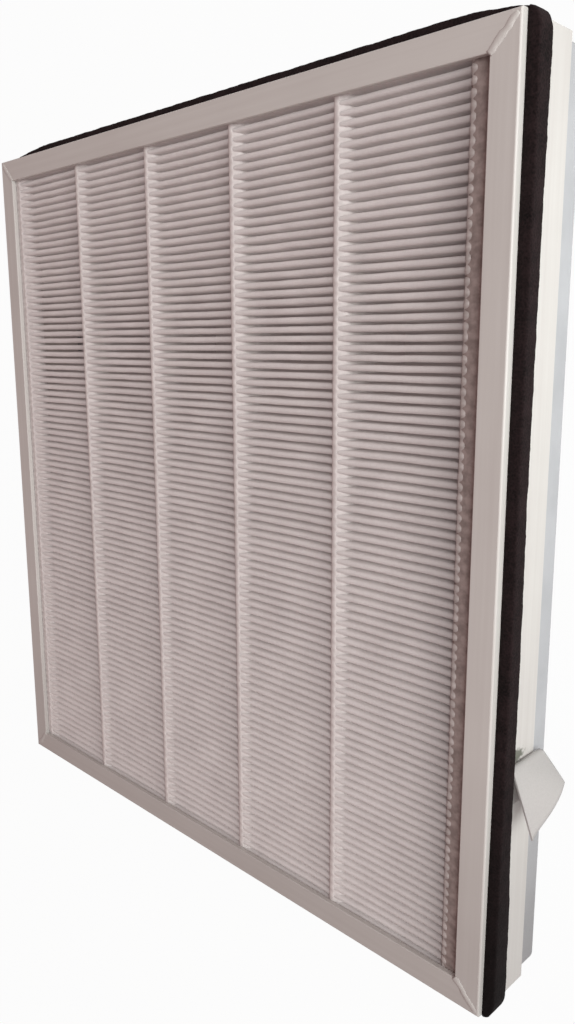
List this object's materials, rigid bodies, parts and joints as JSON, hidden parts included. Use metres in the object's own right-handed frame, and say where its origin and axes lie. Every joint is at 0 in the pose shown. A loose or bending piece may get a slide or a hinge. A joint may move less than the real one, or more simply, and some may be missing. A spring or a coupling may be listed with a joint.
{
  "type": "air purifier hepa filter",
  "caption": "Square pleated panel filter in a mitred white frame, with a grey rear tray, a wrapped black foam seal and a folded pull tab.",
  "frame": {"origin": "centre of the rear face, on the axis along which the filter slides into its bay", "axes": "+X to the right across the front, +Y up the front, +Z from the rear face to the front face"},
  "size_m": [0.3924, 0.411, 0.0506],
  "materials": {
    "filter_media": "fibrous, matt",
    "hot_melt": "satin",
    "sealant": "satin",
    "grey_plastic": "satin",
    "white_plastic": "satin",
    "black_foam": "open-cell foam",
    "white_ribbon": "non-woven"
  },
  "bodies": {
    "root": {"pleated_media": "filter_media", "front_bead_1": "hot_melt", "front_bead_2": "hot_melt", "front_bead_3": "hot_melt", "front_bead_4": "hot_melt", "front_bead_5": "hot_melt", "front_bead_6": "hot_melt", "rear_bead_1": "hot_melt", "rear_bead_2": "hot_melt", "rear_bead_3": "hot_melt", "rear_bead_4": "hot_melt", "rear_bead_5": "hot_melt", "rear_bead_6": "hot_melt", "edge_sealant_top": "sealant", "edge_sealant_bottom": "sealant", "edge_sealant_left": "sealant", "edge_sealant_right": "sealant", "rear_frame": "grey_plastic", "front_frame_top": "white_plastic", "front_frame_bottom": "white_plastic", "front_frame_left": "white_plastic", "front_frame_right": "white_plastic", "corner_weld_top_left": "white_plastic", "corner_weld_top_right": "white_plastic", "corner_weld_bottom_left": "white_plastic", "corner_weld_bottom_right": "white_plastic", "foam_seal": "black_foam", "pull_tab": "white_ribbon"}
  },
  "joints": []
}
